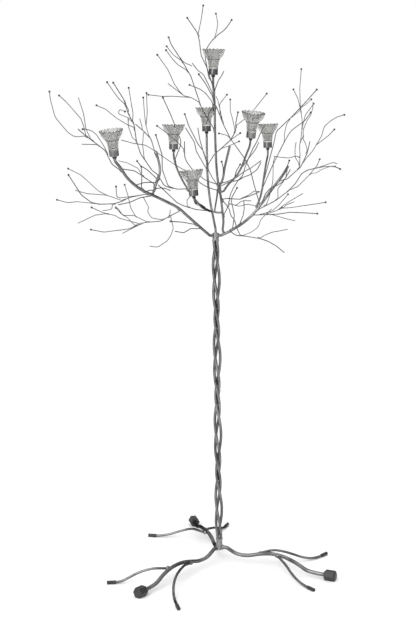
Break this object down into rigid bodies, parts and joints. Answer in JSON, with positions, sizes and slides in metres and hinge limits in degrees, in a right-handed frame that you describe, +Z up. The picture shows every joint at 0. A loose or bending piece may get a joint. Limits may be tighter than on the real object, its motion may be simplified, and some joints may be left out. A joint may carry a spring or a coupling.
{
  "type": "tree-shaped floor candelabra",
  "caption": "Floor candelabra shaped like a bare tree: twisted rod trunk, root legs, wire twigs and fluted glass candle cups in sockets.",
  "frame": {"origin": "on the floor, under the middle of the overall box", "axes": "+Z up along the trunk, +X to the right and +Y to the back as the front is seen"},
  "size_m": [0.765, 0.7023, 1.5554],
  "materials": {
    "rod_metal": "satin grey pewter over bent and twisted round steel rod",
    "weld_collar": "satin, slightly brighter than the rods",
    "twig_wire": "satin grey steel wire",
    "bud_bead": "dark melted metal bead",
    "socket_metal": "satin spun cup",
    "ferrule_dark": "dark ring under each socket",
    "black_cap": "black moulded cap",
    "cup_glass": "clear pressed glass with flutes"
  },
  "bodies": {
    "frame": {"base_collar": "weld_collar", "buds": "bud_bead", "candle_socket_1": "socket_metal", "candle_socket_2": "socket_metal", "candle_socket_3": "socket_metal", "candle_socket_4": "socket_metal", "candle_socket_5": "socket_metal", "candle_socket_6": "socket_metal", "candle_socket_7": "socket_metal", "crown_collar": "weld_collar", "cup_stem_2": "rod_metal", "cup_stem_4": "rod_metal", "cup_stem_5": "rod_metal", "cup_stem_6": "rod_metal", "cup_strut_6": "rod_metal", "foot_cap_back": "black_cap", "foot_cap_left": "black_cap", "foot_cap_right": "black_cap", "hub_strut": "rod_metal", "left_arm": "rod_metal", "leg_back": "rod_metal", "leg_left": "rod_metal", "leg_right": "rod_metal", "rear_stem": "rod_metal", "right_arm": "rod_metal", "root_back_left": "rod_metal", "root_back_right": "rod_metal", "root_left_front": "rod_metal", "root_left_outer": "rod_metal", "root_right_back": "rod_metal", "root_right_front": "rod_metal", "root_sleeves": "black_cap", "socket_ferrules": "ferrule_dark", "stub_centre": "rod_metal", "stub_left": "rod_metal", "top_stem": "rod_metal", "trunk_rod_1": "rod_metal", "trunk_rod_2": "rod_metal", "trunk_rod_3": "rod_metal", "twigs_centre": "twig_wire", "twigs_far_left": "twig_wire", "twigs_high_right": "twig_wire", "twigs_left_high": "twig_wire", "twigs_left_inner": "twig_wire", "twigs_low_left": "twig_wire", "twigs_low_right": "twig_wire", "twigs_top_spray": "twig_wire", "twigs_under_left": "twig_wire", "twigs_upper_left": "twig_wire"},
    "cup_1": {"glass_cup_1": "cup_glass"},
    "cup_2": {"glass_cup_2": "cup_glass"},
    "cup_3": {"glass_cup_3": "cup_glass"},
    "cup_4": {"glass_cup_4": "cup_glass"},
    "cup_5": {"glass_cup_5": "cup_glass"},
    "cup_6": {"glass_cup_6": "cup_glass"},
    "cup_7": {"glass_cup_7": "cup_glass"}
  },
  "joints": [
    {"name": "cup_1_lift", "type": "slide", "parent": "frame", "child": "cup_1", "axis": [-0.108, -0.1571, 0.9817], "range_m": [0, 0.05]},
    {"name": "cup_2_lift", "type": "slide", "parent": "frame", "child": "cup_2", "axis": [0, 0, 1], "range_m": [0, 0.05]},
    {"name": "cup_3_lift", "type": "slide", "parent": "frame", "child": "cup_3", "axis": [-0.02, 0, 0.9998], "range_m": [0, 0.05]},
    {"name": "cup_4_lift", "type": "slide", "parent": "frame", "child": "cup_4", "axis": [0.0983, -0.1572, 0.9827], "range_m": [0, 0.05]},
    {"name": "cup_5_lift", "type": "slide", "parent": "frame", "child": "cup_5", "axis": [-0.02, 0, 0.9998], "range_m": [0, 0.05]},
    {"name": "cup_6_lift", "type": "slide", "parent": "frame", "child": "cup_6", "axis": [-0.0995, -0.0199, 0.9948], "range_m": [0, 0.05]},
    {"name": "cup_7_lift", "type": "slide", "parent": "frame", "child": "cup_7", "axis": [0.02, 0, 0.9998], "range_m": [0, 0.05]}
  ]
}
